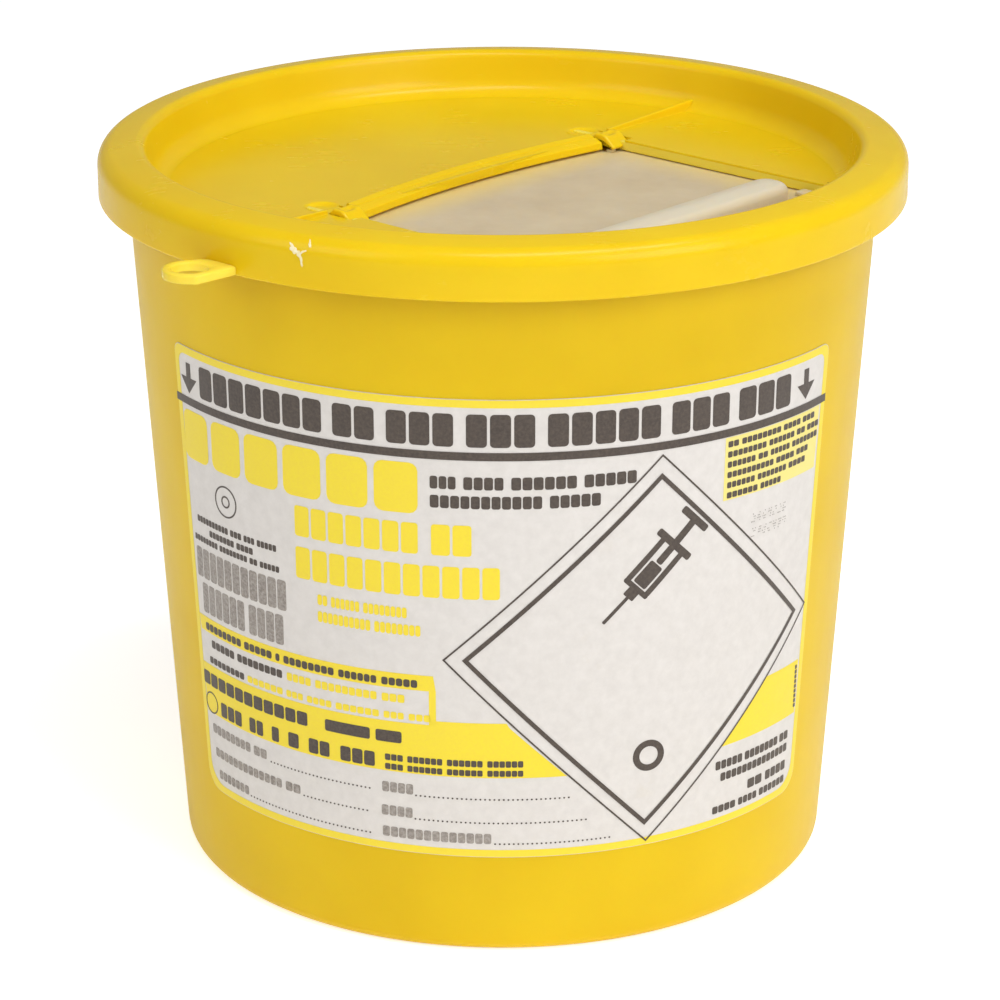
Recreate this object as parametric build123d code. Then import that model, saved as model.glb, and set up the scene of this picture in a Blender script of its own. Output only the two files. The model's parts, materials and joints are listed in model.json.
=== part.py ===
from build123d import *
import os

# Round sharps container: a tapered tub with a label, a press-on lid, a sliding
# door in the lid, and two sprung catches that hold the door.
# Millimetres, +Z up. The origin is the centre of the base. The label faces -Y.

# ---- driving dimensions ----
WALL = 1.5  # wall of every moulding unless said otherwise

# tub
BASE_RADIUS = 77.7
DRAFT = 0.0598  # radius gained per millimetre of height
BASE_FILLET = 3.2
FOOT_HEIGHT = 1.2  # the middle of the base stands this far off the table
FOOT_RADIUS = 71.0
FLOOR_TOP = 2.9
TUB_TOP = 170.0
FLANGE = 1.4  # thickness of the rim flange and of its turned-down lip
LIP_RADIUS = 91.9
LIP_DEPTH = 5.2

# lid
LID_RADIUS = 94.2
SKIRT_BOTTOM = 160.7
SHOULDER_Z = 171.6
CREST_Z = 173.15
WELL_TOP_RADIUS = 83.2
WELL_RADIUS = 81.3
DECK_Z = 162.0  # top face of the lid's flat middle, the deck
BEAD_RADIUS = 92.05  # snap bead inside the skirt
BEAD_FOOT = 162.3  # where the bead's lower ramp starts on the skirt's inside
BEAD_LOW = 163.2
BEAD_HIGH = 163.8
BEAD_END = 164.5
SHOULDER_FILLET = 4.0
CREST_FILLET = 2.2
WELL_FILLET = 5.0

# door, its slot and its rails, in the slide frame: +X is the closing direction
SLIDE_TURN = -42.0  # degrees about Z from the part's +X to the slide frame's +X
SLOT_HALF = 46.0  # half of the aperture, across the slide
SLOT_END = 62.0
BRIDGE_BACK = -10.2
BRIDGE_FRONT = -5.2
BRIDGE_TOP = 163.0
BRIDGE_DEPTH = 3.3
BRIDGE_HALF = 42.0
BRIDGE_FILLET = 0.7
BRIDGE_BOW = 3.5  # how much further back the bridge is at its middle than at its ends
SLOT_BACK = -8.7  # back edge of the opening in the deck, under the bridge
DOOR_TOP = 159.2
DOOR_THICK = 1.6
DOOR_BACK = -14.0
DOOR_END = 61.0
DOOR_HALF = 47.4
DOOR_CORNER = 3.0
SINK = 0.4  # how far anything standing on the door runs into its plate
RAIL_START = -64.0
RAIL_END = 64.6
RAIL_OUTER = 49.6
RAIL_FOOT_INNER = 43.6
RAIL_BOTTOM = 155.6
RAIL_GAP = 0.2  # between the door and its rails
STOP_THICK = 1.4
STOP_FOOT = 2.0  # how far the end stop's foot reaches back under the door

# handle on the door
HANDLE_X = 52.8
HANDLE_WIDTH = 9.6
HANDLE_HALF = 37.0
HANDLE_HEIGHT = 5.4
HANDLE_WALL = 1.4
HANDLE_CORNER = 3.0
HANDLE_ROUND = 2.2  # along its top edges

# lugs that pass under the catches when the door is locked, and tabs at its outer corners
LUG_X = (-5.0, -3.4)
LUG_INNER = 42.8
LUG_OUTER = 45.2
LUG_HEIGHT = 0.55
TAB_X = (53.6, 58.6)
TAB_INNER = 41.8
TAB_OUTER = 45.4
TAB_HEIGHT = 1.1

# catches, one at each end of the bridge
CATCH_Y = 45.5
CATCH_WIDTH = 6.2
CATCH_ROOT = -12.2
CATCH_GAP = 0.3
CATCH_NOSE = -2.0
CATCH_SECTION = (  # (x, z, corner radius), from the root over the saddle and the hump to the nose
    (CATCH_ROOT, 160.95, 0.2),
    (CATCH_ROOT, 162.05, 0.3),
    (-9.8, 161.75, 1.2),
    (-7.9, 163.35, 1.2),
    (-5.2, 163.35, 2.2),
    (CATCH_NOSE, 160.6, 0.4),
    (-2.7, 159.95, 0.3),
    (-5.7, 161.4, 0.9),
    (-7.4, 161.4, 0.9),
    (-9.3, 160.6, 0.9),
)
DISH_RADIUS = 4.1
DISH_DEPTH = 0.7
DISH_X = -14.6

# ribs on the deck from the bridge out to the well wall: they widen and rise towards the wall
RIB_START = 49.1
RIB_END = 81.6
RIB_WIDTH = (1.0, 1.5)
RIB_TOP = (162.9, 164.4)

# tie loop on the skirt
LOOP_CENTRE = (-67.3, -75.5)
LOOP_OUTER = 6.0
LOOP_HOLE = 4.0
LOOP_BOTTOM = 160.8
LOOP_TOP = 163.0
LOOP_ARM = ((0.6, -6.0), (10.1, 0.9), (10.6, 2.6), (6.0, 6.4), (-0.4, 6.0))  # from the centre

# label
LABEL_BOTTOM = 24.8
LABEL_TOP = 136.4
LABEL_HALF_BOTTOM = 68.7  # half width seen straight on
LABEL_HALF_TOP = 73.8
LABEL_THICK = 0.15
LABEL_OFF = 0.02
LABEL_LOW_CORNER = 5.5
LABEL_HIGH_CORNER = 2.5


def tub_radius(z):
    """Outer radius of the tub's wall at a height."""
    return BASE_RADIUS + DRAFT * z


def turned(points):
    """Full turn about Z of a closed profile given as (radius, z, corner radius)."""
    outline = FilletPolyline(
        [(r, z) for r, z, _ in points],
        radius=[corner for _, _, corner in points],
        close=True,
    )
    return revolve(Plane.XZ * make_face(outline), Axis.Z, 360)


def block(x0, x1, y0, y1, z0, z1):
    """Box between two corners."""
    return Pos((x0 + x1) / 2, (y0 + y1) / 2, (z0 + z1) / 2) * Box(x1 - x0, y1 - y0, z1 - z0)


def along_slide(points, x0, x1, corners=0):
    """Closed (y, z) outline carried along the slide from x0 to x1."""
    outline = FilletPolyline(points, radius=corners, close=True)
    return Pos(x0, 0, 0) * extrude(Plane.YZ * make_face(outline), x1 - x0)


def across_slide(points, corners, y0, y1):
    """Closed (x, z) outline carried across the slide from y0 to y1."""
    outline = FilletPolyline(points, radius=corners, close=True)
    return Pos(0, y1, 0) * extrude(Plane.XZ * make_face(outline), y1 - y0)


def placed(shape):
    """Shape from the slide frame, in the part's frame."""
    return Rot(0, 0, SLIDE_TURN) * shape


def container_tub():
    """Tapered wall, raised base and a rim flange with a turned-down lip."""
    flange_under = TUB_TOP - FLANGE
    lip_inner = LIP_RADIUS - FLANGE
    lip_bottom = TUB_TOP - LIP_DEPTH
    return turned(
        [
            (0, FOOT_HEIGHT, 0),
            (FOOT_RADIUS, FOOT_HEIGHT, 0.5),
            (FOOT_RADIUS + 1.2, 0, 0.5),
            (BASE_RADIUS, 0, BASE_FILLET),
            (tub_radius(flange_under), flange_under, 0.8),
            (lip_inner, flange_under, 0.6),
            (lip_inner, lip_bottom, 0.4),
            (LIP_RADIUS, lip_bottom, 0.4),
            (LIP_RADIUS, TUB_TOP, 1.2),
            (tub_radius(TUB_TOP) - WALL, TUB_TOP, 1.2),
            (tub_radius(FLOOR_TOP) - WALL, FLOOR_TOP, 3.0),
            (0, FLOOR_TOP, 0),
        ]
    )


def front_label():
    """Thin sheet wrapped round the front of the tub."""
    z0, z1 = LABEL_BOTTOM - 5, LABEL_TOP + 5
    inner = LABEL_OFF
    outer = LABEL_OFF + LABEL_THICK
    shell = turned(
        [
            (tub_radius(z0) + inner, z0, 0),
            (tub_radius(z0) + outer, z0, 0),
            (tub_radius(z1) + outer, z1, 0),
            (tub_radius(z1) + inner, z1, 0),
        ]
    )
    outline = FilletPolyline(
        [
            (-LABEL_HALF_BOTTOM, LABEL_BOTTOM),
            (LABEL_HALF_BOTTOM, LABEL_BOTTOM),
            (LABEL_HALF_TOP, LABEL_TOP),
            (-LABEL_HALF_TOP, LABEL_TOP),
        ],
        radius=[LABEL_LOW_CORNER, LABEL_LOW_CORNER, LABEL_HIGH_CORNER, LABEL_HIGH_CORNER],
        close=True,
    )
    window = extrude(Plane.XZ * make_face(outline), BASE_RADIUS + 20)
    return shell & window


def lid_shell():
    """Skirt, rounded rim, well wall and deck, with a snap bead in the skirt."""
    skirt_inner = LID_RADIUS - WALL
    slope = (CREST_Z - SHOULDER_Z) / (LID_RADIUS - WELL_TOP_RADIUS)
    well_outer_top = WELL_TOP_RADIUS + WALL - 0.3
    return turned(
        [
            (0, DECK_Z, 0),
            (WELL_RADIUS, DECK_Z, WELL_FILLET),
            (WELL_TOP_RADIUS, CREST_Z, CREST_FILLET),
            (LID_RADIUS, SHOULDER_Z, SHOULDER_FILLET),
            (LID_RADIUS, SKIRT_BOTTOM, 0.5),
            (skirt_inner, SKIRT_BOTTOM, 0.3),
            (skirt_inner, BEAD_FOOT, 0),
            (BEAD_RADIUS, BEAD_LOW, 0.3),
            (BEAD_RADIUS, BEAD_HIGH, 0.3),
            (skirt_inner, BEAD_END, 0),
            (skirt_inner, SHOULDER_Z + slope * WALL - WALL, SHOULDER_FILLET - WALL),
            (well_outer_top, CREST_Z - slope * (well_outer_top - WELL_TOP_RADIUS) - WALL, 0.7),
            (WELL_RADIUS + WALL, DECK_Z - WALL, 2.0),
            (0, DECK_Z - WALL, 0),
        ]
    )


def rails():
    """A channel down each side of the slot that the door's edges run in, and an end stop."""
    groove_outer = DOOR_HALF + RAIL_GAP * 2
    groove_top = DOOR_TOP + RAIL_GAP
    groove_bottom = DOOR_TOP - DOOR_THICK - RAIL_GAP
    under_deck = DECK_Z - WALL / 2
    section = [
        (SLOT_HALF, under_deck),
        (RAIL_OUTER, under_deck),
        (RAIL_OUTER, RAIL_BOTTOM),
        (RAIL_FOOT_INNER, RAIL_BOTTOM),
        (RAIL_FOOT_INNER, groove_bottom),
        (groove_outer, groove_bottom),
        (groove_outer, groove_top),
        (SLOT_HALF, groove_top),
    ]
    far = along_slide(section, RAIL_START, RAIL_END)
    near = mirror(far, Plane.XZ)
    lip = block(SLOT_END, SLOT_END + WALL, -RAIL_OUTER, RAIL_OUTER, groove_top, under_deck)
    foot = block(
        SLOT_END - STOP_FOOT, RAIL_END + STOP_THICK, -RAIL_OUTER, RAIL_OUTER, RAIL_BOTTOM, groove_bottom
    )
    stop = block(RAIL_END, RAIL_END + STOP_THICK, -RAIL_OUTER, RAIL_OUTER, RAIL_BOTTOM, under_deck)
    return far + near + lip + foot + stop


def bridge():
    """Bar along the back edge of the opening, bowed away from it, that the door passes under."""
    ends = (-BRIDGE_HALF, BRIDGE_HALF)
    back = ThreePointArc(
        (BRIDGE_BACK, ends[0]), (BRIDGE_BACK - BRIDGE_BOW, 0), (BRIDGE_BACK, ends[1])
    )
    front = ThreePointArc(
        (BRIDGE_FRONT, ends[0]), (BRIDGE_FRONT - BRIDGE_BOW, 0), (BRIDGE_FRONT, ends[1])
    )
    sides = [Line((BRIDGE_BACK, end), (BRIDGE_FRONT, end)) for end in ends]
    plan = make_face([edge for line in (back, front, *sides) for edge in line.edges()])
    bar = extrude(Pos(0, 0, BRIDGE_TOP - BRIDGE_DEPTH) * plan, BRIDGE_DEPTH, dir=(0, 0, 1))
    long_edges = bar.edges().filter_by(GeomType.CIRCLE).group_by(Axis.Z)[-1]
    return fillet(long_edges, BRIDGE_FILLET)


def rib(side):
    """Rib on the deck from the bridge's end to the wall, wider and higher at the wall."""
    foot_z = DECK_Z - WALL / 2
    plan = make_face(
        Polyline(
            (BRIDGE_BACK, side * RIB_START),
            (BRIDGE_BACK + RIB_WIDTH[0], side * RIB_START),
            (BRIDGE_BACK + RIB_WIDTH[1], side * RIB_END),
            (BRIDGE_BACK, side * RIB_END),
            close=True,
        )
    )
    elevation = make_face(
        Polyline(
            (side * RIB_START, foot_z),
            (side * RIB_END, foot_z),
            (side * RIB_END, RIB_TOP[1]),
            (side * RIB_START, RIB_TOP[0]),
            close=True,
        )
    )
    upright = extrude(Pos(0, 0, foot_z) * plan, RIB_TOP[1] - foot_z, dir=(0, 0, 1))
    across = extrude(Plane.YZ * elevation, RIB_WIDTH[1], dir=(1, 0, 0))
    return upright & Pos(BRIDGE_BACK, 0, 0) * across


def tie_loop():
    """Flat ring beside the skirt, on an arm that runs into the skirt."""
    cx, cy = LOOP_CENTRE
    height = LOOP_TOP - LOOP_BOTTOM
    arm = make_face(Polyline(*[(cx + x, cy + y) for x, y in LOOP_ARM], close=True))
    plan = Pos(cx, cy) * Circle(LOOP_OUTER) + arm - Pos(cx, cy) * Circle(LOOP_HOLE)
    ring = Pos(0, 0, LOOP_BOTTOM) * extrude(plan, height, dir=(0, 0, 1))
    inside = Pos(0, 0, LOOP_BOTTOM + height / 2) * Cylinder(LID_RADIUS - WALL / 2, height * 2)
    return ring - inside


def catch_seat(side):
    """Space cut in the deck for a catch: a dished hollow and a slot for its tongue."""
    ball_radius = (DISH_RADIUS**2 + DISH_DEPTH**2) / (2 * DISH_DEPTH)
    dish = Pos(DISH_X, side * CATCH_Y, DECK_Z - DISH_DEPTH + ball_radius) * Sphere(ball_radius)
    half = CATCH_WIDTH / 2 + CATCH_GAP
    y0, y1 = side * CATCH_Y - half, side * CATCH_Y + half
    slot_end = CATCH_NOSE + CATCH_GAP
    slot = block(CATCH_ROOT - CATCH_GAP, slot_end, y0, y1, DOOR_TOP + RAIL_GAP, DECK_Z + 2)
    return dish + slot


def lid():
    """The whole lid moulding."""
    open_slot = block(
        SLOT_BACK, SLOT_END, -SLOT_HALF, SLOT_HALF, DECK_Z - WALL - 1, DECK_Z + 1
    )
    body = lid_shell() + placed(rails()) - placed(open_slot)
    body += placed(bridge())
    for side in (-1, 1):
        body += placed(rib(side))
        body -= placed(catch_seat(side))
    return body + tie_loop()


def sliding_door():
    """Flat plate with a hollow grip bar across it, two locking lugs and two end tabs."""
    under = DOOR_TOP - DOOR_THICK
    plate = block(DOOR_BACK, DOOR_END, -DOOR_HALF, DOOR_HALF, under, DOOR_TOP)
    plate = fillet(plate.edges().filter_by(Axis.Z), DOOR_CORNER)
    half = HANDLE_WIDTH / 2
    bar = block(
        HANDLE_X - half, HANDLE_X + half, -HANDLE_HALF, HANDLE_HALF,
        DOOR_TOP - SINK, DOOR_TOP + HANDLE_HEIGHT,
    )
    bar = fillet(bar.edges().filter_by(Axis.Z), HANDLE_CORNER)
    bar = fillet(bar.edges().group_by(Axis.Z)[-1], HANDLE_ROUND)
    hollow = block(
        HANDLE_X - half + HANDLE_WALL, HANDLE_X + half - HANDLE_WALL,
        -HANDLE_HALF + HANDLE_WALL, HANDLE_HALF - HANDLE_WALL,
        under - 1, DOOR_TOP + HANDLE_HEIGHT - HANDLE_WALL,
    )
    hollow = fillet(hollow.edges().filter_by(Axis.Z), HANDLE_CORNER - HANDLE_WALL)
    door = plate + bar - hollow
    for side in (-1, 1):
        lug_y = sorted((side * LUG_INNER, side * LUG_OUTER))
        door += block(*LUG_X, *lug_y, DOOR_TOP - SINK, DOOR_TOP + LUG_HEIGHT)
        tab_y = sorted((side * TAB_INNER, side * TAB_OUTER))
        door += block(*TAB_X, *tab_y, DOOR_TOP - SINK, DOOR_TOP + TAB_HEIGHT)
    return door


def catch():
    """Sprung tongue beside the bridge: a thin root, a saddle and a curled hook."""
    return across_slide(
        [(x, z) for x, z, _ in CATCH_SECTION],
        [corner for _, _, corner in CATCH_SECTION],
        -CATCH_WIDTH / 2,
        CATCH_WIDTH / 2,
    )


def catch_at(side):
    """Catch at the far end (+1) or the near end (-1) of the bridge."""
    return placed(Pos(0, side * CATCH_Y, 0) * catch())


PARTS = {
    "container_tub": container_tub(),
    "front_label": front_label(),
    "lid": lid(),
    "sliding_door": placed(sliding_door()),
    "catch_near": catch_at(-1),
    "catch_far": catch_at(1),
}

os.makedirs("parts", exist_ok=True)
for name, shape in PARTS.items():
    export_step(shape, f"parts/{name}.step")
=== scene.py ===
import json

import bmesh
import bpy
import numpy as np
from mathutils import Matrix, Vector


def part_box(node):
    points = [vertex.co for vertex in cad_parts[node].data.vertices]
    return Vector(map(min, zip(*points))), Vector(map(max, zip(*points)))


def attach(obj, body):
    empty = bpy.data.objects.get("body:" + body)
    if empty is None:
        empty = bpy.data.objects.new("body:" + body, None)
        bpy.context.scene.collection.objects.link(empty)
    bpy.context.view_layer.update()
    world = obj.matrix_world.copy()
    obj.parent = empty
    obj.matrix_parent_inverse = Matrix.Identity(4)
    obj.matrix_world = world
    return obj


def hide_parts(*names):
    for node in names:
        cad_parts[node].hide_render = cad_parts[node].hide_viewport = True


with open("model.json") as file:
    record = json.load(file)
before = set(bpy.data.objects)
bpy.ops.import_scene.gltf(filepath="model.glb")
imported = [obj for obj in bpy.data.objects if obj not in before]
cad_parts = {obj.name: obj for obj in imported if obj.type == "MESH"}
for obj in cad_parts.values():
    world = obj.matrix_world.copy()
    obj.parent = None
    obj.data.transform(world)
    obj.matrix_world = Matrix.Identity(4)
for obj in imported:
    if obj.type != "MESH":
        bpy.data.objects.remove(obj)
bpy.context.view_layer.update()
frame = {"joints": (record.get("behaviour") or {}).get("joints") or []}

# Round sharps container with a press-on lid, a sliding door and two sprung catches.
# Millimetres throughout; a mesh is scaled to metres as it is made. +Z is up and the label faces -Y.
MM = 0.001


def cad_size(node):
    """Lowest and highest corner of a CAD node, in millimetres."""
    low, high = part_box(node)
    return np.array(low) / MM, np.array(high) / MM


LID_LOW, LID_HIGH = cad_size("lid")
TUB_HIGH = cad_size("container_tub")[1]
LABEL_LOW, LABEL_HIGH = cad_size("front_label")
DOOR_LOW, DOOR_HIGH = cad_size("sliding_door")
JOINT_AXIS = {joint["name"]: joint["axis"] for joint in frame["joints"]}

# ---- tub ----
WALL = 1.5
BASE_RADIUS = 77.7
DRAFT = 0.0598  # radius gained per millimetre of height
TUB_TOP = TUB_HIGH[2]
LIP_RADIUS = TUB_HIGH[0]
LIP_DEPTH = 5.2
FLANGE = 1.4
FOOT_RADIUS = 71.0
FOOT_HEIGHT = 1.2
FLOOR_TOP = 2.9

# ---- lid ----
LID_RADIUS = LID_HIGH[0]
DECK_Z = 162.0  # top face of the lid's flat middle, the deck
SKIRT_BOTTOM = 160.7
SHOULDER_Z = 171.6
CREST_Z = 173.15  # where the rim's two slopes would meet if the crest weren't rounded
WELL_TOP_RADIUS = 83.2
WELL_RADIUS = 81.3
SHOULDER_FILLET = 4.0
CREST_FILLET = 2.2
WELL_FILLET = 5.0
BEAD_RADIUS = 92.05  # snap bead inside the skirt
BEAD_FOOT = 162.3
BEAD_LOW = 163.2
BEAD_HIGH = 163.8
BEAD_END = 164.5
FOOT_SINK = 0.06  # how far the flared foot of anything on the deck starts below its top face

# ---- slide frame: +X is the closing direction, +Y runs along the bridge ----
SLIDE_X = np.array(JOINT_AXIS["door_slide"][:2])
SLIDE_Y = np.array([-SLIDE_X[1], SLIDE_X[0]])
SLOT_HALF = 46.0
SLOT_END = 62.0
BRIDGE_BACK = -10.2
BRIDGE_FRONT = -5.2
BRIDGE_TOP = 163.0
BRIDGE_DEPTH = 3.3
BRIDGE_HALF = 42.0
BRIDGE_BOW = 3.5
SLOT_BACK = -8.7
DOOR_TOP = 159.2
DOOR_UNDER = DOOR_LOW[2]
GRIP_TOP = DOOR_HIGH[2]
RAIL_BOTTOM = LID_LOW[2]
RAIL_START = -64.0
RAIL_END = 64.6
RAIL_OUTER = 49.6
RAIL_GAP = 0.2  # between the door and its rails
CATCH_Y = 45.5
CATCH_HALF = 3.1
CATCH_ROOT = -12.2
CATCH_GAP = 0.3
CATCH_NOSE = -2.0
SINK = 0.4  # how far anything standing on the door runs into its plate

# ---- label ----
LABEL_BOTTOM = LABEL_LOW[2]
LABEL_TOP = LABEL_HIGH[2]
LABEL_OFF = 0.02
LABEL_THICK = 0.15
BORDER = 1.9
INK_LIFT = 0.02  # height of the back of an ink film over the label's face
INK_THICK = 0.03


# ======================================================================= mesh building


def rounded(corners, steps=8, longest=None):
    """Closed outline from corners (a, b, radius).

    Each corner is an arc tangent to both its sides: its centre lies on the bisector, at the radius over
    the sine of the half angle. Straight runs longer than longest are divided evenly.
    """
    points = np.array([corner[:2] for corner in corners], float)
    outline = []
    for here, before, after, corner in zip(
        points, np.roll(points, 1, 0), np.roll(points, -1, 0), corners
    ):
        radius = corner[2]
        if radius == 0:
            outline.append(here[None])
            continue
        to_before = (before - here) / np.linalg.norm(before - here)
        to_after = (after - here) / np.linalg.norm(after - here)
        half = np.arccos(np.clip(to_before @ to_after, -1, 1)) / 2
        bisector = (to_before + to_after) / np.linalg.norm(to_before + to_after)
        centre = here + bisector * radius / np.sin(half)
        start = here + to_before * radius / np.tan(half) - centre
        end = here + to_after * radius / np.tan(half) - centre
        turn = np.pi - 2 * half
        t = np.linspace(0, 1, steps + 1)[:, None]
        outline.append(centre + (start * np.sin((1 - t) * turn) + end * np.sin(t * turn)) / np.sin(turn))
    outline = np.concatenate(outline)
    if longest is None:
        return outline
    runs = []
    for start, end in zip(outline, np.roll(outline, -1, 0)):
        count = max(1, int(np.ceil(np.linalg.norm(end - start) / longest)))
        runs.append(start + (end - start) * np.arange(count)[:, None] / count)
    return np.concatenate(runs)


def quads(rows, cols, wrap_rows=False, wrap_cols=False):
    """Four-sided faces of a grid of points, each point joined to the next along its row and column."""
    r, c = np.meshgrid(
        np.arange(rows if wrap_rows else rows - 1),
        np.arange(cols if wrap_cols else cols - 1),
        indexing="ij",
    )
    r1 = (r + 1) % rows
    c1 = (c + 1) % cols
    return np.stack([r * cols + c, r1 * cols + c, r1 * cols + c1, r * cols + c1], -1).reshape(-1, 4)


def lofted(rings, wrap=False, capped=False):
    """Rings of points (ring, point, xyz), each ring closed and joined to the next; the ends are capped
    with flat faces, or the last ring is joined to the first."""
    count, around = rings.shape[:2]
    faces = quads(count, around, wrap_rows=wrap, wrap_cols=True).tolist()
    if capped:
        faces.append(list(range(around)))
        faces.append(list(range((count - 1) * around, count * around)))
    return rings.reshape(-1, 3), faces


def revolved(profile, segments=288):
    """A closed profile of (radius, z) turned about Z; points on the axis become poles."""
    angle = np.linspace(0, 2 * np.pi, segments, endpoint=False)[:, None]
    radius, height = profile[None, :, 0], profile[None, :, 1]
    points = np.stack(
        [radius * np.cos(angle), radius * np.sin(angle), height + 0 * angle], -1
    )
    return points.reshape(-1, 3), quads(segments, len(profile), True, True).tolist()


def slabs(grids, lift, thick):
    """Thin closed films on the tub's front, from flat grids (film, row, column, (u, z)).

    u is the distance round the tub from its front line. Each film has an outer face, an inner face, and
    walls round its edge.
    """
    films, rows, cols = grids.shape[:3]
    per_face = rows * cols
    index = np.arange(per_face).reshape(rows, cols)
    edge = np.concatenate([index[0, :-1], index[:-1, -1], index[-1, :0:-1], index[:0:-1, 0]])
    after = np.roll(edge, -1)
    top = quads(rows, cols)
    walls = np.stack([edge, after, after + per_face, edge + per_face], -1)
    one = np.concatenate([top, top[:, ::-1] + per_face, walls])
    faces = (one[None] + (np.arange(films) * 2 * per_face)[:, None, None]).reshape(-1, 4)
    flat = grids.reshape(films, per_face, 2)
    points = np.concatenate([on_tub(flat, lift + thick), on_tub(flat, lift)], 1)
    return points.reshape(-1, 3), faces.tolist()


def on_tub(flat, lift):
    """Points (u, z) on the tub's cone, lifted off it.

    u is an arc length, so the angle is u over the radius.
    """
    u, z = flat[..., 0], flat[..., 1]
    radius = BASE_RADIUS + DRAFT * z
    angle = u / radius
    return np.stack([(radius + lift) * np.sin(angle), -(radius + lift) * np.cos(angle), z], -1)


def from_slide(points):
    """Points in the slide frame, in the part's frame."""
    flat = points[..., :1] * SLIDE_X + points[..., 1:2] * SLIDE_Y
    return np.concatenate([flat, points[..., 2:]], -1)


def joined(*shapes):
    """Several (points, faces) as one."""
    points, faces, start = [], [], 0
    for some_points, some_faces in shapes:
        points.append(some_points)
        faces.extend([[start + i for i in face] for face in some_faces])
        start += len(some_points)
    return np.concatenate(points), faces


def piece(name, body, node, finish, shape, sharp=35, bevel=0.0):
    """Mesh object from (points, faces): doubles merged, faces turned outwards, smooth but for its sharp
    edges, riding on a body and standing for a CAD node."""
    points, faces = shape
    mesh = bpy.data.meshes.new(name)
    mesh.from_pydata((points * MM).tolist(), [], faces)
    work = bmesh.new()
    work.from_mesh(mesh)
    bmesh.ops.remove_doubles(work, verts=work.verts, dist=1e-6)
    bmesh.ops.dissolve_degenerate(work, edges=work.edges, dist=1e-7)
    bmesh.ops.recalc_face_normals(work, faces=work.faces)
    work.to_mesh(mesh)
    work.free()
    mesh.shade_smooth()
    mesh.set_sharp_from_angle(angle=np.radians(sharp))
    made = bpy.data.objects.new(name, mesh)
    bpy.context.scene.collection.objects.link(made)
    material, slot = finish
    mesh.materials.append(material)
    if bevel:
        add_bevel(made, bevel)
    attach(made, body)
    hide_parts(node)
    return made


def add_bevel(made, width):
    """Small round on every sharp edge."""
    modifier = made.modifiers.new("edge_round", "BEVEL")
    modifier.width = width * MM
    modifier.segments = 3
    modifier.limit_method = "ANGLE"
    modifier.angle_limit = np.radians(40)
    modifier.harden_normals = True


# ======================================================================= materials


class Nodes:
    """A new material's node tree, with its shader and the object's own coordinates at hand."""

    def __init__(self, name):
        self.material = bpy.data.materials.new(name)
        self.material.use_nodes = True
        self.tree = self.material.node_tree
        self.shader = self.tree.nodes["Principled BSDF"]
        self.place = self.add("ShaderNodeTexCoord").outputs["Object"]

    def add(self, kind, **settings):
        node = self.tree.nodes.new(kind)
        for key, value in settings.items():
            setattr(node, key, value)
        return node

    def link(self, source, socket):
        self.tree.links.new(source, socket)

    def stretched(self, scale):
        """The object's coordinates, scaled differently along each axis."""
        mapping = self.add("ShaderNodeMapping")
        mapping.inputs["Scale"].default_value = scale
        self.link(self.place, mapping.inputs["Vector"])
        return mapping.outputs["Vector"]

    def noise(self, size, detail=3.0, roughness=0.55, place=None):
        """Noise whose features are about size millimetres across."""
        node = self.add("ShaderNodeTexNoise")
        node.inputs["Scale"].default_value = 1 / (size * MM)
        node.inputs["Detail"].default_value = detail
        node.inputs["Roughness"].default_value = roughness
        self.link(place or self.place, node.inputs["Vector"])
        return node.outputs["Fac"]

    def spots(self, size, radius):
        """1 inside sparse round specks: the cells are size millimetres and a speck is a share of its cell."""
        node = self.add("ShaderNodeTexVoronoi")
        node.inputs["Scale"].default_value = 1 / (size * MM)
        self.link(self.place, node.inputs["Vector"])
        return self.ramp(node.outputs["Distance"], radius, radius * 0.6)

    def ramp(self, source, low, high, bottom=0.0, top=1.0):
        """source from low..high to bottom..top, held at both ends."""
        node = self.add("ShaderNodeMapRange")
        node.inputs["From Min"].default_value = low
        node.inputs["From Max"].default_value = high
        node.inputs["To Min"].default_value = bottom
        node.inputs["To Max"].default_value = top
        self.link(source, node.inputs["Value"])
        return node.outputs["Result"]

    def math(self, kind, a, b):
        node = self.add("ShaderNodeMath", operation=kind)
        for socket, value in zip(node.inputs, (a, b)):
            if isinstance(value, (int, float)):
                socket.default_value = value
            else:
                self.link(value, socket)
        return node.outputs["Value"]

    def mix(self, factor, a, b):
        """Colour a where factor is 0 and b where it is 1."""
        node = self.add("ShaderNodeMix", data_type="RGBA")
        self.link(factor, node.inputs["Factor"])
        for socket, value in ((node.inputs[6], a), (node.inputs[7], b)):
            if isinstance(value, tuple):
                socket.default_value = (*value, 1)
            else:
                self.link(value, socket)
        return node.outputs[2]

    def bumps(self, *layers):
        """Stacked bumps, each (height, depth in millimetres)."""
        normal = None
        for height, depth in layers:
            node = self.add("ShaderNodeBump")
            node.inputs["Distance"].default_value = depth * MM
            self.link(height, node.inputs["Height"])
            if normal:
                self.link(normal, node.inputs["Normal"])
            normal = node.outputs["Normal"]
        self.link(normal, self.shader.inputs["Normal"])


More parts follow.
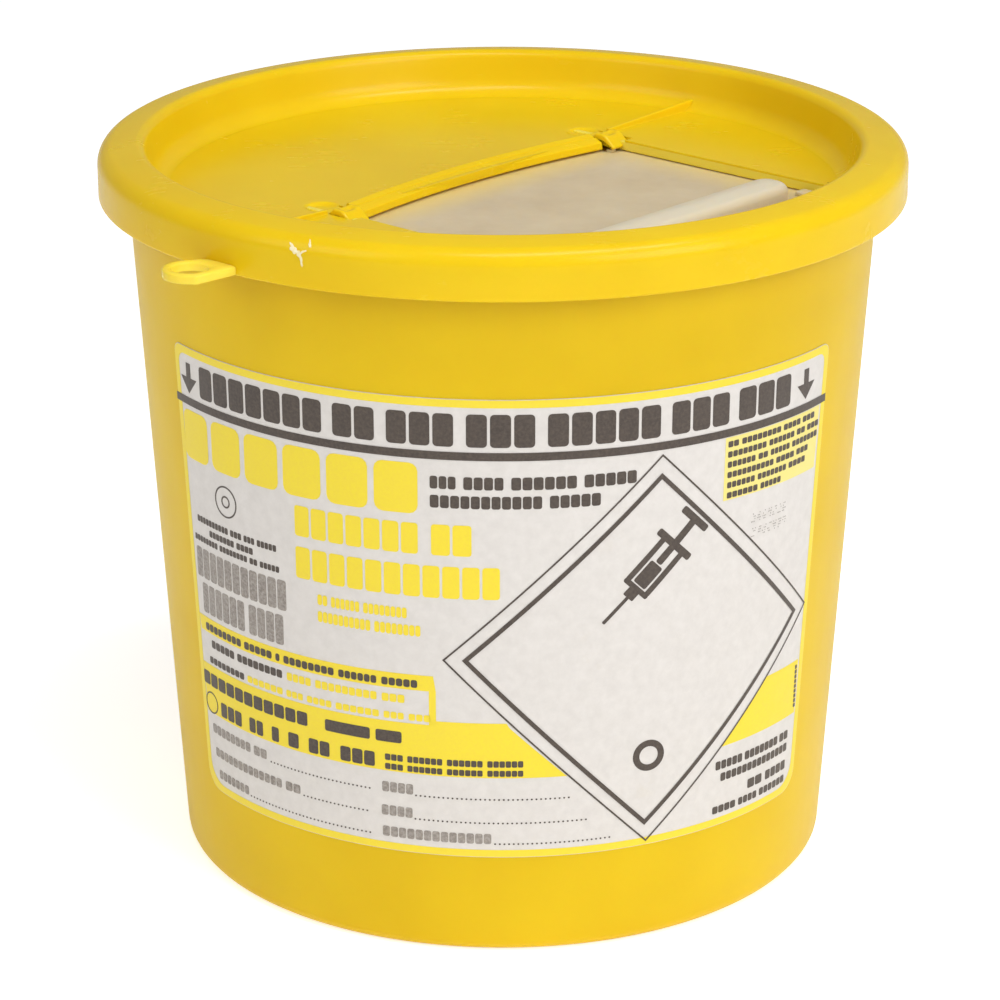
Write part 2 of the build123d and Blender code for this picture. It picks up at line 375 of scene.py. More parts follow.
def yellow_moulding(name, deep, bright, roughness, flow=None):
    """Glossy yellow polypropylene: slow drift of tone, fine grain, drag marks in the gloss, dark specks."""
    n = Nodes(name)
    drift = n.ramp(n.noise(38, 2), 0.3, 0.7)
    tone = n.mix(drift, deep, bright)
    grain = n.noise(0.9, 2)
    tone = n.mix(n.ramp(grain, 0.35, 0.65, 0.0, 0.12), tone, tuple(c * 0.93 for c in bright))
    specks = n.math("MULTIPLY", n.spots(17, 0.022), n.ramp(n.noise(60, 1), 0.5, 0.56))
    tone = n.mix(n.math("MULTIPLY", specks, 0.6), tone, (0.20, 0.11, 0.02))
    n.link(tone, n.shader.inputs["Base Color"])
    drag = n.noise(2.2, 4, 0.6, n.stretched(flow or (1, 1, 0.16)))
    worn = n.ramp(n.noise(14, 3), 0.3, 0.7, -0.02, 0.02)
    gloss = n.math("ADD", n.ramp(drag, 0.3, 0.7, -0.012, 0.018), worn)
    n.link(n.math("ADD", gloss, roughness), n.shader.inputs["Roughness"])
    n.bumps((n.noise(34, 0), 0.02), (drag, 0.0001), (grain, 0.0001))
    n.shader.inputs["Subsurface Weight"].default_value = 0.25
    n.shader.inputs["Subsurface Radius"].default_value = (1.0, 0.6, 0.05)
    n.shader.inputs["Subsurface Scale"].default_value = 0.003
    n.shader.inputs["Specular IOR Level"].default_value = 0.16
    n.shader.inputs["IOR"].default_value = 1.49
    return n.material


def milky_moulding():
    """Natural polypropylene: milky, lets some light through, frosted top with fine bright scratches, and a
    painted yellow reflection of the bridge and rails near them.
    """
    n = Nodes("milky_polypropylene")
    cloud = n.ramp(n.noise(16, 4), 0.3, 0.7)
    tone = n.mix(cloud, (0.56, 0.45, 0.295), (0.63, 0.52, 0.35))
    slide_marks = n.noise(0.8, 4, 0.65, n.stretched((0.35, 1.0, 1.0)))
    tone = n.mix(n.ramp(slide_marks, 0.62, 0.74, 0.0, 0.45), tone, (0.72, 0.63, 0.47))
    height = n.add("ShaderNodeSeparateXYZ")
    n.link(n.place, height.inputs["Vector"])
    turned = n.add("ShaderNodeMapping")
    turned.inputs["Rotation"].default_value = (0, 0, -float(np.arctan2(SLIDE_X[1], SLIDE_X[0])))
    n.link(n.place, turned.inputs["Vector"])
    along = n.add("ShaderNodeSeparateXYZ")
    n.link(turned.outputs["Vector"], along.inputs["Vector"])
    # painted reflection: the door's colour turns yellow towards the bridge and towards the rails, standing in
    # for the yellow light the lid's plastic throws on it
    painted_bridge_reflection = n.ramp(along.outputs["X"], -10.0 * MM, 4.0 * MM, 0.95, 0.0)
    painted_rail_reflection = n.ramp(n.math("ABSOLUTE", along.outputs["Y"], 0.0), 34.0 * MM, SLOT_HALF * MM, 0.0, 0.5)
    tone = n.mix(n.math("MAXIMUM", painted_bridge_reflection, painted_rail_reflection), tone, (0.78, 0.59, 0.20))
    grip_share = n.ramp(height.outputs["Z"], (DOOR_TOP + 0.2) * MM, (DOOR_TOP + 2.5) * MM)
    tone = n.mix(grip_share, tone, (0.70, 0.61, 0.46))
    n.link(tone, n.shader.inputs["Base Color"])
    n.link(n.ramp(n.noise(5, 4), 0.3, 0.7, 0.34, 0.5), n.shader.inputs["Roughness"])
    n.bumps((n.noise(9, 2), 0.03), (n.noise(1.3, 3), 0.010), (slide_marks, 0.006))
    n.shader.inputs["Subsurface Weight"].default_value = 0.55
    n.shader.inputs["Subsurface Radius"].default_value = (1.0, 0.72, 0.42)
    n.shader.inputs["Subsurface Scale"].default_value = 0.004
    n.shader.inputs["IOR"].default_value = 1.49
    return n.material


def label_film():
    """White printed film: faint fibre mottle, slight handling dirt, soft gloss."""
    n = Nodes("label_film_white")
    mottle = n.ramp(n.noise(2.4, 4, 0.6), 0.3, 0.7)
    tone = n.mix(mottle, (0.66, 0.625, 0.59), (0.72, 0.685, 0.65))
    dirt = n.ramp(n.noise(11, 5, 0.7), 0.62, 0.8, 0.0, 0.35)
    tone = n.mix(dirt, tone, (0.62, 0.56, 0.46))
    n.link(tone, n.shader.inputs["Base Color"])
    n.link(n.ramp(n.noise(7, 3), 0.3, 0.7, 0.36, 0.48), n.shader.inputs["Roughness"])
    n.bumps((n.noise(22, 1), 0.05), (n.noise(0.6, 3), 0.002))
    n.shader.inputs["IOR"].default_value = 1.45
    return n.material


def ink(name, thin, full):
    """Printed ink: patchy cover, a little glossier than the film under it."""
    n = Nodes(name)
    cover = n.ramp(n.noise(0.7, 4, 0.65), 0.30, 0.62)
    patches = n.ramp(n.noise(9, 3), 0.35, 0.7, 0.0, 0.3)
    tone = n.mix(patches, n.mix(cover, thin, full), thin)
    n.link(tone, n.shader.inputs["Base Color"])
    n.link(n.ramp(n.noise(3, 3), 0.3, 0.7, 0.32, 0.42), n.shader.inputs["Roughness"])
    n.bumps((n.noise(0.6, 3), 0.002))
    n.shader.inputs["IOR"].default_value = 1.45
    return n.material


TUB_YELLOW = (
    yellow_moulding("tub_yellow", (0.73, 0.475, 0.004), (0.79, 0.53, 0.006), 0.36),
    "yellow_plastic",
)
LID_YELLOW = (
    yellow_moulding("lid_yellow", (0.76, 0.50, 0.005), (0.81, 0.55, 0.008), 0.25, (0.25, 1, 1)),
    "lid_plastic",
)
# painted light: a brighter, paler copy of the lid's own yellow for the tie loop and the door's rails, which
# are moulded in the lid's plastic; the extra brightness stands in for light falling on them
PAINTED_BRIGHT_YELLOW = (
    yellow_moulding("lid_yellow_painted_bright", (0.86, 0.64, 0.05), (0.92, 0.74, 0.10), 0.25),
    "lid_plastic",
)
SCUFF_PALE = (ink("scuffed_plastic", (0.85, 0.70, 0.30), (0.92, 0.86, 0.66)), "lid_plastic")
DOOR_MILKY = (milky_moulding(), "door_plastic")
FILM_WHITE = (label_film(), "label_film")
INK_DARK = (ink("ink_dark", (0.095, 0.072, 0.055), (0.055, 0.040, 0.032)), "label_film")
INK_GREY = (ink("ink_grey", (0.42, 0.38, 0.34), (0.20, 0.17, 0.15)), "label_film")
INK_YELLOW = (ink("ink_yellow", (0.86, 0.66, 0.035), (0.88, 0.70, 0.025)), "label_film")
INK_PALE = (ink("ink_pale_yellow", (0.84, 0.72, 0.24), (0.86, 0.74, 0.20)), "label_film")


# ======================================================================= tub


def tub():
    """Tapered wall, raised base with a foot ring, and a rim flange with a turned-down lip.

    A closed profile of straight runs and arcs, turned about Z.
    """
    under_flange = TUB_TOP - FLANGE
    lip_inner = LIP_RADIUS - FLANGE
    lip_bottom = TUB_TOP - LIP_DEPTH
    gate_radius, gate_drop = 3.2, 0.5  # the moulding gate's stub under the middle of the base
    ring_radius, ring_step = 40.0, 0.35  # a shallow step in the underside
    profile = rounded(
        [
            (0, FOOT_HEIGHT - gate_drop, 0),
            (gate_radius, FOOT_HEIGHT - gate_drop, 0.3),
            (gate_radius + 0.4, FOOT_HEIGHT + ring_step, 0.2),
            (ring_radius, FOOT_HEIGHT + ring_step, 0.3),
            (ring_radius + 0.6, FOOT_HEIGHT, 0.3),
            (FOOT_RADIUS, FOOT_HEIGHT, 0.5),
            (FOOT_RADIUS + 1.2, 0, 0.5),
            (BASE_RADIUS, 0, 3.2),
            (BASE_RADIUS + DRAFT * under_flange, under_flange, 0.8),
            (lip_inner, under_flange, 0.6),
            (lip_inner, lip_bottom, 0.4),
            (LIP_RADIUS, lip_bottom, 0.4),
            (LIP_RADIUS, TUB_TOP, 1.2),
            (BASE_RADIUS + DRAFT * TUB_TOP - WALL, TUB_TOP, 1.2),
            (BASE_RADIUS + DRAFT * FLOOR_TOP - WALL, FLOOR_TOP, 3.0),
            (0, FLOOR_TOP, 0),
        ],
        steps=6,
        longest=6.0,
    )
    piece("tub_shell", "container", "container_tub", TUB_YELLOW, revolved(profile, 320))


# ======================================================================= lid


def lid_rim():
    """Skirt with its snap bead, rounded rim and well wall, down to the edge of the deck.

    A closed profile of straight runs and arcs, turned about Z.
    """
    skirt_inner = LID_RADIUS - WALL
    slope = (CREST_Z - SHOULDER_Z) / (LID_RADIUS - WELL_TOP_RADIUS)
    inner_top = WELL_TOP_RADIUS + WALL - 0.3
    joint_radius = WELL_RADIUS - 4.4  # the ring's edge, sunk in the deck
    sunk = 0.1
    level_gap = 0.012  # keeps the ring's flat part just under the deck's top face
    profile = rounded(
        [
            (joint_radius, DECK_Z - sunk, 0),
            (WELL_RADIUS, DECK_Z - level_gap, WELL_FILLET),
            (WELL_TOP_RADIUS, CREST_Z, CREST_FILLET),
            (LID_RADIUS, SHOULDER_Z, SHOULDER_FILLET),
            (LID_RADIUS, SKIRT_BOTTOM, 0.5),
            (skirt_inner, SKIRT_BOTTOM, 0.3),
            (skirt_inner, BEAD_FOOT, 0),
            (BEAD_RADIUS, BEAD_LOW, 0.3),
            (BEAD_RADIUS, BEAD_HIGH, 0.3),
            (skirt_inner, BEAD_END, 0),
            (skirt_inner, SHOULDER_Z + slope * WALL - WALL, SHOULDER_FILLET - WALL),
            (inner_top, CREST_Z - slope * (inner_top - WELL_TOP_RADIUS) - WALL, 0.7),
            (WELL_RADIUS + WALL, DECK_Z - WALL, 2.0),
            (joint_radius, DECK_Z - WALL + sunk, 0),
        ],
        steps=9,
        longest=3.0,
    )
    piece("lid_rim", "lid", "lid", LID_YELLOW, revolved(profile, 360))


def grid_lines(stops, spacing):
    """Grid lines through every stop, evenly spaced between two stops and no further apart than spacing."""
    runs = [
        np.linspace(a, b, int(np.ceil((b - a) / gap)), endpoint=False)
        for a, b, gap in zip(stops, stops[1:], spacing)
    ]
    return np.concatenate([*runs, [stops[-1]]])


def lid_deck():
    """Flat middle of the lid with the door's opening, the catches' slots and the two dished hollows.

    A grid in the slide frame whose lines run through every edge of the opening. The cells inside the
    opening or past the rim are left out. The height is the deck's less a flat dip, with a cosine slope
    round it, at each dish.
    """
    reach, edge = 80.9, 80.2
    dish_x, dish_flat, dish_slope, dish_depth = -14.6, 3.1, 1.0, 0.7
    slot_back = CATCH_ROOT - CATCH_GAP
    slot_front = CATCH_NOSE + 0.5
    slot_inner = CATCH_Y - CATCH_HALF - CATCH_GAP
    slot_outer = CATCH_Y + CATCH_HALF + CATCH_GAP
    half_y = [slot_inner, SLOT_HALF, slot_outer, 52.0, reach]
    along_x = [-reach, -21.0, slot_back, SLOT_BACK, slot_front, SLOT_END, reach]
    xs = grid_lines(along_x, [1.4, 0.5, 0.5, 1.0, 1.4, 1.3])
    upper = grid_lines([0.0, 39.0, *half_y], [1.4, 0.5, 0.5, 0.5, 0.5, 1.4])
    ys = np.concatenate([-upper[:0:-1], upper])
    x, y = np.meshgrid(xs, ys, indexing="ij")
    radius = np.hypot(x, y)
    snap = np.where(radius > edge - 0.7, edge / np.maximum(radius, 1), 1)
    away = (np.hypot(x - dish_x, np.abs(y) - CATCH_Y) - dish_flat) / dish_slope
    z = DECK_Z - dish_depth * 0.5 * (1 + np.cos(np.pi * np.clip(away, 0, 1)))
    middle_x = (x[:-1, :-1] + x[1:, 1:]) / 2
    middle_y = np.abs(y[:-1, :-1] + y[1:, 1:]) / 2
    in_opening = (middle_x > SLOT_BACK) & (middle_x < SLOT_END) & (middle_y < SLOT_HALF)
    in_slot = (middle_x > slot_back) & (middle_x < slot_front)
    in_slot &= (middle_y > slot_inner) & (middle_y < slot_outer)
    corners = np.stack([radius[:-1, :-1], radius[1:, :-1], radius[:-1, 1:], radius[1:, 1:]])
    kept = ~in_opening & ~in_slot & (corners.max(0) < reach)
    faces = quads(*x.shape)[kept.ravel()]
    used, renumbered = np.unique(faces, return_inverse=True)
    points = from_slide(np.stack([x * snap, y * snap, z], -1).reshape(-1, 3)[used])
    deck = piece("lid_deck", "lid", "lid", LID_YELLOW, (points, renumbered.reshape(-1, 4).tolist()))
    normals = np.empty(3 * len(deck.data.polygons))
    deck.data.polygons.foreach_get("normal", normals)
    if normals[2::3].sum() < 0:
        deck.data.flip_normals()
    shell = deck.modifiers.new("deck_wall", "SOLIDIFY")
    shell.thickness = WALL * MM
    shell.offset = -1
    add_bevel(deck, 0.3)


def lid_bridge():
    """Bar along the back of the opening, bowed away from it, that the door passes under.

    The section is a ridge, a groove and a broad face that slopes down to the front, with a flared foot. It is
    carried along the slide's Y and set back by the bow less its square share of the distance to the ends.
    """
    top, under = BRIDGE_TOP, BRIDGE_TOP - BRIDGE_DEPTH
    flare, groove = 0.7, 0.35
    section = rounded(
        [
            (BRIDGE_BACK - flare, DECK_Z - 0.2, 0),
            (BRIDGE_BACK - flare, DECK_Z - FOOT_SINK, 0),
            (BRIDGE_BACK, DECK_Z - FOOT_SINK, 0.5),
            (BRIDGE_BACK, top, 0.4),
            (BRIDGE_BACK + 0.8, top, 0.3),
            (BRIDGE_BACK + 2.0, top - 0.5, 0.15),
            (BRIDGE_BACK + 2.25, top - 0.5 - groove, 0.1),
            (BRIDGE_BACK + 2.6, top - 0.6, 0.15),
            (BRIDGE_FRONT - 0.3, top - 1.5, 0.5),
            (BRIDGE_FRONT, under, 0.4),
            (BRIDGE_BACK, under, 0),
            (BRIDGE_BACK, DECK_Z - 0.2, 0),
        ],
        steps=6,
    )
    along = np.linspace(-BRIDGE_HALF, BRIDGE_HALF, 97)[:, None]
    back = BRIDGE_BOW * (1 - (along / BRIDGE_HALF) ** 2)
    points = np.stack(
        [section[None, :, 0] - back, along + 0 * section[None, :, 0], section[None, :, 1] + 0 * along], -1
    )
    piece("lid_bridge", "lid", "lid", LID_YELLOW, lofted(from_slide(points), capped=True), bevel=0.5)


def lid_rib(side, name):
    """Low rib from the bridge's end out to the well wall, wider and proud at the wall.

    A rounded section with flared feet, whose width grows evenly along the rib.
    """
    start, end = 49.1, 81.4
    narrow, wide, flare = 1.0, 1.5, 0.5
    low_height, high_height = 0.9, 2.4

    def section(width, height):
        left, right = BRIDGE_BACK, BRIDGE_BACK + width
        top = DECK_Z + height
        return rounded(
            [
                (left - flare, DECK_Z - 0.3, 0),
                (left - flare, DECK_Z - FOOT_SINK, 0),
                (left, DECK_Z - FOOT_SINK, 0.45),
                (left, top, 0.3),
                (right, top, 0.3),
                (right, DECK_Z - FOOT_SINK, 0.45),
                (right + flare, DECK_Z - FOOT_SINK, 0),
                (right + flare, DECK_Z - 0.3, 0),
            ],
            steps=5,
        )

    share = np.linspace(0, 1, 45)[:, None, None]
    first, last = section(narrow, low_height), section(wide, high_height)
    flat = first + (last - first) * share
    across = side * (start + (end - start) * share[..., 0]) + 0 * flat[..., 0]
    points = np.stack([flat[..., 0], across, flat[..., 1]], -1)
    piece(name, "lid", "lid", LID_YELLOW, lofted(from_slide(points), capped=True), bevel=0.2)


def lid_rail(side, name):
    """Channel under the deck that one edge of the door runs in: a C section carried along the slide."""
    foot_inner, groove_outer = 43.6, 47.8
    proud = 0.03  # how far the rail's side stands out past the deck's cut edge
    side_top = DECK_Z - 0.4
    under_deck = DECK_Z - WALL + 0.05
    section = rounded(
        [
            (SLOT_HALF - proud, side_top, 0),
            (SLOT_HALF + WALL, side_top, 0),
            (SLOT_HALF + WALL, under_deck, 0),
            (RAIL_OUTER, under_deck, 0),
            (RAIL_OUTER, RAIL_BOTTOM, 0.4),
            (foot_inner, RAIL_BOTTOM, 0.4),
            (foot_inner, DOOR_UNDER - RAIL_GAP, 0.3),
            (groove_outer, DOOR_UNDER - RAIL_GAP, 0.2),
            (groove_outer, DOOR_TOP + RAIL_GAP, 0.2),
            (SLOT_HALF - proud, DOOR_TOP + RAIL_GAP, 0.3),
        ],
        steps=4,
    )
    along = np.linspace(RAIL_START, RAIL_END, 60)[:, None]
    across, height = section[None, :, 0], section[None, :, 1]
    points = np.stack([along + 0 * across, side * across + 0 * along, height + 0 * along], -1)
    # painted light: the rail takes the brighter copy of the lid's yellow
    piece(name, "lid", "lid", PAINTED_BRIGHT_YELLOW, lofted(from_slide(points), capped=True), bevel=0.2)


def rounded_block(x0, x1, y0, y1, z0, z1, corner, edge):
    """Block with round corners in plan and rounded top and bottom edges, in the slide frame."""
    turns = np.radians([0, 30, 60, 90])
    inset = edge * (1 - np.cos(turns))
    drop = edge * (1 - np.sin(turns))
    sides = (x0, x1, y0, y1, corner)
    lower = [plan_ring(*sides, d, z0 + h) for d, h in zip(inset[::-1], drop[::-1])]
    upper = [plan_ring(*sides, d, z1 - h) for d, h in zip(inset, drop)]
    return lofted(from_slide(np.stack(lower + upper)), capped=True)


def plan_ring(x0, x1, y0, y1, corner, inset, z):
    """Rounded rectangle, drawn inset from its sides, at one height; every ring has as many points."""
    radius = max(corner - inset, 0.02)
    outline = rounded(
        [
            (x0 + inset, y0 + inset, radius),
            (x1 - inset, y0 + inset, radius),
            (x1 - inset, y1 - inset, radius),
            (x0 + inset, y1 - inset, radius),
        ],
        steps=8,
    )
    return np.column_stack([outline, np.full(len(outline), z)])


def lid_rail_end():
    """Closed end of the two rails: a lip under the deck, a foot under the door and a stop between them."""
    foot_start, stop_end = 60.0, 66.0
    ends = (-RAIL_OUTER, RAIL_OUTER)
    under_deck = DECK_Z - WALL + 0.05
    lip = rounded_block(SLOT_END, SLOT_END + WALL, *ends, DOOR_TOP + RAIL_GAP, under_deck, 0.2, 0.15)
    foot = rounded_block(foot_start, stop_end, *ends, RAIL_BOTTOM, DOOR_UNDER - RAIL_GAP, 0.3, 0.25)
    stop = rounded_block(RAIL_END, stop_end, *ends, RAIL_BOTTOM + 0.3, under_deck, 0.3, 0.2)
    piece("lid_rail_end", "lid", "lid", LID_YELLOW, joined(lip, foot, stop))


def tie_loop():
    """Flat ring beside the skirt, on an arm that runs into the skirt.

    Round the ring's centre, the outer edge is a circle that swells into the arm's outline; the section is
    a rounded rectangle between the hole's radius and that edge.
    """
    centre = np.array([-67.3, -75.5])
    hole, outer, low, high = 4.0, 6.0, 160.8, 163.0
    arm = np.array([(-100, outer), (-84, 6.1), (5.1, 10.1), (13.8, 10.9), (46.8, 8.8), (94, outer)])
    angle = np.radians(np.linspace(0, 360, 160, endpoint=False))
    turned = (np.degrees(angle) + 180) % 360 - 180
    reach = np.interp(turned, arm[:, 0], arm[:, 1], left=outer, right=outer)
    tangent_side = outer / np.maximum(np.cos(angle - np.radians(-48)), 0.6)
    reach = np.where((turned > -84) & (turned < 5.1), np.minimum(reach, tangent_side), reach)
    smooth = np.real(np.fft.ifft(np.fft.fft(reach) * np.exp(-(np.fft.fftfreq(160, 1 / 160) / 22) ** 2)))
    section = rounded([(0, low, 0.35), (1, low, 0.35), (1, high, 0.45), (0, high, 0.45)], steps=5)
    share = np.clip(section[:, 0], 0, 1)[None]
    radius = hole + (smooth[:, None] - hole) * share
    x = centre[0] + radius * np.cos(angle)[:, None]
    y = centre[1] + radius * np.sin(angle)[:, None]
    inner_limit = LID_RADIUS - WALL / 2
    pull = np.maximum(inner_limit / np.hypot(x, y), 1)
    points = np.stack([x * pull, y * pull, section[None, :, 1] + 0 * x], -1)
    # painted light: the loop takes the brighter copy of the lid's yellow
    piece("tie_loop", "lid", "lid", PAINTED_BRIGHT_YELLOW, lofted(points, wrap=True))


# ======================================================================= door and catches


def door_plate():
    """Flat plate with a hollow grip bar: one skin of nested rounded rectangles.

    The rings run from the middle of the hollow's ceiling, down its walls, out under the plate, round the
    plate's edge, in over its top, up the bar's side and in to the middle of the bar's crowned top.
    """
    back, end, half = -14.0, 61.0, 47.4
    grip_x, grip_half_width, grip_half = 52.8, 4.8, 37.0
    hollow_wall, plate_corner, plate_edge = 1.4, 3.0, 0.4
    grip_edge, grip_corner, foot_flare, crown = 2.2, 4.2, 0.6, 0.35

    def grip(inset, z):
        return plan_ring(
            grip_x - grip_half_width, grip_x + grip_half_width, -grip_half, grip_half, grip_corner, inset, z
        )

    def plate(inset, z):
        return plan_ring(back, end, -half, half, plate_corner, inset, z)

    def blend(first, last, count):
        share = np.linspace(0, 1, count + 2)[1:-1, None, None]
        return list(first + (last - first) * share)

    ceiling = GRIP_TOP - hollow_wall
    middle = grip_half_width - 0.02
    quarter = np.radians(np.linspace(0, 90, 8))
    rings = [grip(middle, ceiling), grip(hollow_wall + 0.3, ceiling), grip(hollow_wall, ceiling - 0.3)]
    rings += [grip(hollow_wall, DOOR_UNDER)]
    rings += blend(rings[-1], plate(plate_edge, DOOR_UNDER), 12)
    rings += [plate(plate_edge * (1 - np.sin(a)), DOOR_UNDER + plate_edge * (1 - np.cos(a))) for a in quarter]
    rings += [plate(plate_edge * (1 - np.cos(a)), DOOR_TOP - plate_edge * (1 - np.sin(a))) for a in quarter]
    rings += blend(rings[-1], grip(-foot_flare, DOOR_TOP), 16)
    rings += [grip(-foot_flare * (1 - np.sin(a)), DOOR_TOP + foot_flare * (1 - np.cos(a))) for a in quarter]
    shoulder = GRIP_TOP - crown - grip_edge
    rings += [grip(grip_edge * (1 - np.cos(a)), shoulder + grip_edge * np.sin(a)) for a in quarter]
    for inset in np.linspace(grip_edge, middle, 6)[1:]:
        inward = (inset - grip_edge) / (middle - grip_edge)
        rings.append(grip(inset, GRIP_TOP - crown * (1 - inward) ** 2))
    points = from_slide(np.stack(rings))
    piece("door_plate", "door", "sliding_door", DOOR_MILKY, lofted(points, capped=True))


def door_lugs():
    """Two locking lugs that pass under the catches, and a tab at each outer corner of the door."""
    for side, end in ((-1, "near"), (1, "far")):
        lug_y = sorted((side * 42.8, side * 45.2))
        tab_y = sorted((side * 41.8, side * 45.4))
        lug = rounded_block(-5.0, -3.4, *lug_y, DOOR_TOP - SINK, DOOR_TOP + 0.55, 0.5, 0.25)
        tab = rounded_block(53.6, 58.6, *tab_y, DOOR_TOP - SINK, DOOR_TOP + 1.1, 0.8, 0.4)
        piece(f"door_lug_{end}", "door", "sliding_door", DOOR_MILKY, lug)
        piece(f"door_tab_{end}", "door", "sliding_door", DOOR_MILKY, tab)


def catch(side, body, node):
    """Sprung tongue beside the bridge: a thin root, a saddle and a hook that curls over the door.

    A closed rounded section carried across the tongue. The upper points sink in a bell curve over the
    middle of the hump, which leaves a pocket with a raised rim, and the ends draw in to round the edges.
    """
    section = rounded(
        [
            (CATCH_ROOT, 160.95, 0.2),
            (CATCH_ROOT, 162.05, 0.3),
            (-9.8, 161.75, 1.2),
            (-7.9, 163.35, 1.2),
            (-5.2, 163.35, 2.2),
            (CATCH_NOSE, 160.6, 0.4),
            (-2.7, 159.95, 0.3),
            (-5.7, 161.4, 0.9),
            (-7.4, 161.4, 0.9),
            (-9.3, 160.6, 0.9),
        ],
        steps=8,
        longest=0.4,
    )
    turn = np.radians(np.linspace(0, 90, 6))
    edge = 0.55
    ends = CATCH_HALF - edge * (1 - np.sin(turn))
    inset = edge * (1 - np.cos(turn))
    half = np.concatenate([np.linspace(0, ends[0], 18, endpoint=False), ends])
    draw = np.concatenate([np.zeros(18), inset])
    across = np.concatenate([-half[:0:-1], half])
    draw = np.concatenate([draw[:0:-1], draw])
    following = np.roll(section, -1, 0) - np.roll(section, 1, 0)
    inward = np.stack([following[:, 1], -following[:, 0]], -1)
    inward /= np.maximum(np.linalg.norm(inward, axis=1, keepdims=True), 1e-6)
    flat = section[None] + inward[None] * draw[:, None, None]
    upper = np.clip((section[:, 1] - 162.3) / 0.6, 0, 1)
    along_bell = np.exp(-(((section[:, 0] + 6.4) / 1.3) ** 2))
    across_bell = np.exp(-((across / 1.9) ** 4))
    pocket = 0.75 * along_bell[None] * across_bell[:, None]
    z = flat[..., 1] - pocket * upper[None]
    y = side * (CATCH_Y + across)[:, None] + 0 * z
    points = from_slide(np.stack([flat[..., 0], y, z], -1))
    piece(f"{node}_tongue", body, node, LID_YELLOW, lofted(points, capped=True))


# ======================================================================= label


def label_edges(z, inset=0.0):
    """Left and right edge of the label at a height, as arc lengths from the front line.

    The sides lean in towards the bottom; the corners are quarter rounds that draw the edges in.
    """
    share = (z - LABEL_BOTTOM) / (LABEL_TOP - LABEL_BOTTOM)
    left_low, left_high, right_low, right_high = -84.1, -89.2, 82.1, 87.9
    left = left_low + (left_high - left_low) * share + inset
    right = right_low + (right_high - right_low) * share - inset
    low_corner, high_corner = 5.5, 2.5
    into_low = np.clip(low_corner - (z - LABEL_BOTTOM - inset), 0, low_corner)
    into_high = np.clip(high_corner - (LABEL_TOP - inset - z), 0, high_corner)
    draw = low_corner - np.sqrt(low_corner**2 - into_low**2)
    draw = draw + high_corner - np.sqrt(high_corner**2 - into_high**2)
    return left + draw, right - draw


def label_heights(inset, count=60):
    """Heights from the label's bottom to its top, closer together near both."""
    share = (1 - np.cos(np.linspace(0, np.pi, count))) / 2
    return LABEL_BOTTOM + inset + (LABEL_TOP - LABEL_BOTTOM - 2 * inset) * share


def label_sheet():
    """Film wrapped round the tub's front: a grid between its left and right edges, row by row."""
    z = label_heights(0.0)
    left, right = label_edges(z)
    share = np.linspace(0, 1, 140)
    u = left[:, None] + (right - left)[:, None] * share
    grid = np.stack([u, z[:, None] + 0 * u], -1)[None]
    piece("label_sheet", "container", "front_label", FILM_WHITE, slabs(grid, LABEL_OFF, LABEL_THICK))


def printed(name, finish, *shapes):
    """Ink on the label: one piece of one or more thin films."""
    piece(name, "container", "front_label", finish, joined(*shapes))


def film(grids, level=0):
    """Thin closed films on the label's face, on a higher level where inks overlap."""
    lift = LABEL_OFF + LABEL_THICK + INK_LIFT + level * (INK_THICK + INK_LIFT)
    return slabs(grids, lift, INK_THICK)


def bars(blocks, corner=0.35, level=0, turn=0.0, centre=(0.0, 0.0)):
    """Rounded bars (u0, u1, z0, z1), as films; turned about their common centre if asked.

    Each bar is a row of columns; near its ends the columns shorten by the round of the corner.
    """
    blocks = np.array(blocks, float)
    u0, u1, z0, z1 = (blocks[:, i, None] for i in range(4))
    radius = np.minimum(corner, np.minimum(u1 - u0, z1 - z0) * 0.45)
    into = 1 - np.cos(np.radians([0, 30, 60, 90]))
    count = int(np.ceil((u1 - u0).max() / 1.2)) + 1
    middle = np.linspace(0, 1, count + 1)[None, 1:-1]
    start, end = u0 + radius * into, u1 - radius * into[::-1]
    u = np.concatenate([start, start[:, -1:] + (end[:, :1] - start[:, -1:]) * middle, end], 1)
    depth = np.minimum(u - u0, u1 - u)
    short = radius - np.sqrt(np.maximum(radius**2 - np.clip(radius - depth, 0, None) ** 2, 0))
    rows = np.linspace(0, 1, max(2, int((z1 - z0).max() / 2.5) + 2))[None, None, :]
    z = (z0 + short)[..., None] + (z1 - z0 - 2 * short)[..., None] * rows
    grid = np.stack([u[..., None] + 0 * z, z], -1)
    angle = np.radians(turn)
    rotation = np.array([[np.cos(angle), -np.sin(angle)], [np.sin(angle), np.cos(angle)]])
    return film(grid @ rotation.T + np.array(centre), level)


def panel(corners, level=0):
    """Flat four-cornered patch: straight mixing between its corners, in the order left-low, right-low,
    right-high, left-high."""
    a, b, c, d = np.array(corners, float)
    s = np.linspace(0, 1, 60)[None, :, None]
    t = np.linspace(0, 1, 12)[:, None, None]
    return film(((1 - s) * ((1 - t) * a + t * d) + s * ((1 - t) * b + t * c))[None], level)


def frame_line(outline, width, level=0):
    """Closed line of a given width along straight sides: the outline, and a copy drawn in to its centre."""
    outline = np.array(outline, float)
    centre = outline.mean(0)
    size = np.abs(outline - centre).max()
    share = np.linspace(0, 1, 60, endpoint=False)[None, :, None]
    after = np.roll(outline, -1, 0)
    outer = (outline[:, None] + (after - outline)[:, None] * share).reshape(-1, 2)
    inner = centre + (outer - centre) * (1 - width * np.sqrt(2) / size)
    return closed_band(outer, inner, level)


def ring(centre, radius, width, level=0):
    """Circular line."""
    angle = np.radians(np.arange(0, 360, 7.5))
    direction = np.column_stack([np.cos(angle), np.sin(angle)])
    middle = np.array(centre)
    return closed_band(middle + radius * direction, middle + (radius - width) * direction, level)


def closed_band(outer, inner, level=0):
    """Closed film between two loops of as many points."""
    lift = LABEL_OFF + LABEL_THICK + INK_LIFT + level * (INK_THICK + INK_LIFT)
    face = lift + INK_THICK
    section = [on_tub(outer, face), on_tub(inner, face), on_tub(inner, lift), on_tub(outer, lift)]
    return lofted(np.stack(section, 1), wrap=True)


